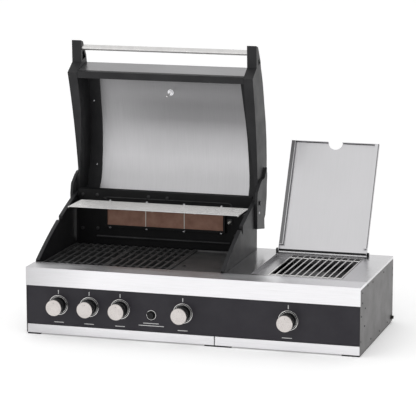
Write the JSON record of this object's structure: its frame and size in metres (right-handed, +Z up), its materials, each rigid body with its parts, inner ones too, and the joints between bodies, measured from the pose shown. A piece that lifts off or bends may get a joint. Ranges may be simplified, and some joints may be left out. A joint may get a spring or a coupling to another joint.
{
  "type": "gas barbecue grill",
  "caption": "Countertop gas barbecue with hinged lid, cast grates, griddle, warming rack, rear burner, control knobs, grease tray and a lidded side burner.",
  "frame": {"origin": "on the floor plane under the middle of the bounding box, with both lids open", "axes": "+X to the cook's right, +Y from the front panel to the back, +Z up"},
  "size_m": [1.1714, 0.7146, 0.9433],
  "materials": {
    "stainless": "brushed along the width",
    "polished": "polished",
    "panel_paint": "dark grey enamel, semi-gloss",
    "side_paint": "mid grey powder coat, satin",
    "casting": "dark grey textured powder coat",
    "lining": "black heat-resistant coat, matte",
    "cast_iron": "seasoned, matte",
    "ceramic": "porous, brown",
    "white_ceramic": "glazed white",
    "brass": "machined",
    "black": "black, satin",
    "foot_rubber": "black, matte"
  },
  "bodies": {
    "cabinet": {"front_rail": "stainless", "worktop": "stainless", "control_panel": "panel_paint", "lower_trim": "stainless", "side_panel_left": "side_paint", "side_panel_right": "side_paint", "rear_panel": "side_paint", "base_pan": "side_paint", "foot_rail_left": "foot_rubber", "foot_rail_middle": "foot_rubber", "foot_rail_right": "foot_rubber", "gas_manifold": "brass", "gas_inlet": "black", "knob_bezel_1": "polished", "knob_bezel_2": "polished", "knob_bezel_3": "polished", "knob_bezel_4": "polished", "knob_bezel_5": "polished", "firebox_wall_left": "casting", "firebox_wall_right": "casting", "firebox_rear": "lining", "firebox_pan": "lining", "rear_burner_box": "lining", "rear_burner_tiles": "ceramic", "rear_igniter": "white_ceramic", "burner_1": "stainless", "burner_2": "stainless", "burner_3": "stainless", "heat_tent_1": "stainless", "heat_tent_2": "stainless", "heat_tent_3": "stainless", "side_well": "stainless", "side_burner": "cast_iron", "side_hinge": "black"},
    "main_lid": {"lid_end_left": "casting", "lid_end_right": "casting", "lid_skin": "stainless", "lid_lining": "stainless", "lid_beam": "casting", "lid_handle": "polished", "lid_thermometer": "polished"},
    "side_lid": {"side_lid": "stainless"},
    "grease_tray": {"grease_tray": "stainless", "tray_front": "stainless"},
    "warming_rack": {"warming_rack": "polished"},
    "grate_left": {"grate_left": "cast_iron"},
    "grate_right": {"grate_right": "cast_iron"},
    "griddle": {"griddle": "cast_iron"},
    "side_grate": {"side_grate": "polished"},
    "igniter_button": {"igniter_button": "black"},
    "spindle_1": {"valve_spindle_1": "brass"},
    "knob_1": {"knob_1": "black"},
    "spindle_2": {"valve_spindle_2": "brass"},
    "knob_2": {"knob_2": "black"},
    "spindle_3": {"valve_spindle_3": "brass"},
    "knob_3": {"knob_3": "black"},
    "spindle_4": {"valve_spindle_4": "brass"},
    "knob_4": {"knob_4": "black"},
    "spindle_5": {"valve_spindle_5": "brass"},
    "knob_5": {"knob_5": "black"}
  },
  "joints": [
    {"name": "main_lid_hinge", "type": "hinge", "parent": "cabinet", "child": "main_lid", "pos_m": [-0.23875, 0.19082, 0.39325], "axis": [-1, 0, 0], "range_deg": [-101.8, 0]},
    {"name": "side_lid_hinge", "type": "hinge", "parent": "cabinet", "child": "side_lid", "pos_m": [0.33525, 0.16775, 0.239], "axis": [-1, 0, 0], "range_deg": [-117.5, 0]},
    {"name": "grease_tray_slide", "type": "slide", "parent": "cabinet", "child": "grease_tray", "axis": [0, -1, 0], "range_m": [0, 0.32]},
    {"name": "warming_rack_lift", "type": "slide", "parent": "cabinet", "child": "warming_rack", "axis": [0, 0, 1], "range_m": [0, 0.06]},
    {"name": "grate_left_lift", "type": "slide", "parent": "cabinet", "child": "grate_left", "axis": [0, 0, 1], "range_m": [0, 0.08]},
    {"name": "grate_right_lift", "type": "slide", "parent": "cabinet", "child": "grate_right", "axis": [0, 0, 1], "range_m": [0, 0.08]},
    {"name": "griddle_lift", "type": "slide", "parent": "cabinet", "child": "griddle", "axis": [0, 0, 1], "range_m": [0, 0.08]},
    {"name": "side_grate_lift", "type": "slide", "parent": "cabinet", "child": "side_grate", "axis": [0, 0, 1], "range_m": [0, 0.06]},
    {"name": "igniter_push", "type": "slide", "parent": "cabinet", "child": "igniter_button", "axis": [0, 1, 0], "range_m": [0, 0.005], "stiffness_N_per_m": 400, "springref_m": -0.002},
    {"name": "knob_1_turn", "type": "hinge", "parent": "cabinet", "child": "spindle_1", "pos_m": [-0.45965, -0.31225, 0.106], "axis": [0, -1, 0], "range_deg": [0, 225]},
    {"name": "knob_1_push", "type": "slide", "parent": "spindle_1", "child": "knob_1", "axis": [0, 1, 0], "range_m": [0, 0.004], "stiffness_N_per_m": 500, "springref_m": -0.002},
    {"name": "knob_2_turn", "type": "hinge", "parent": "cabinet", "child": "spindle_2", "pos_m": [-0.35065, -0.31225, 0.106], "axis": [0, -1, 0], "range_deg": [0, 225]},
    {"name": "knob_2_push", "type": "slide", "parent": "spindle_2", "child": "knob_2", "axis": [0, 1, 0], "range_m": [0, 0.004], "stiffness_N_per_m": 500, "springref_m": -0.002},
    {"name": "knob_3_turn", "type": "hinge", "parent": "cabinet", "child": "spindle_3", "pos_m": [-0.24165, -0.31225, 0.106], "axis": [0, -1, 0], "range_deg": [0, 225]},
    {"name": "knob_3_push", "type": "slide", "parent": "spindle_3", "child": "knob_3", "axis": [0, 1, 0], "range_m": [0, 0.004], "stiffness_N_per_m": 500, "springref_m": -0.002},
    {"name": "knob_4_turn", "type": "hinge", "parent": "cabinet", "child": "spindle_4", "pos_m": [-0.02365, -0.31225, 0.106], "axis": [0, -1, 0], "range_deg": [0, 225]},
    {"name": "knob_4_push", "type": "slide", "parent": "spindle_4", "child": "knob_4", "axis": [0, 1, 0], "range_m": [0, 0.004], "stiffness_N_per_m": 500, "springref_m": -0.002},
    {"name": "knob_5_turn", "type": "hinge", "parent": "cabinet", "child": "spindle_5", "pos_m": [0.33525, -0.31225, 0.106], "axis": [0, -1, 0], "range_deg": [0, 225]},
    {"name": "knob_5_push", "type": "slide", "parent": "spindle_5", "child": "knob_5", "axis": [0, 1, 0], "range_m": [0, 0.004], "stiffness_N_per_m": 500, "springref_m": -0.002}
  ]
}
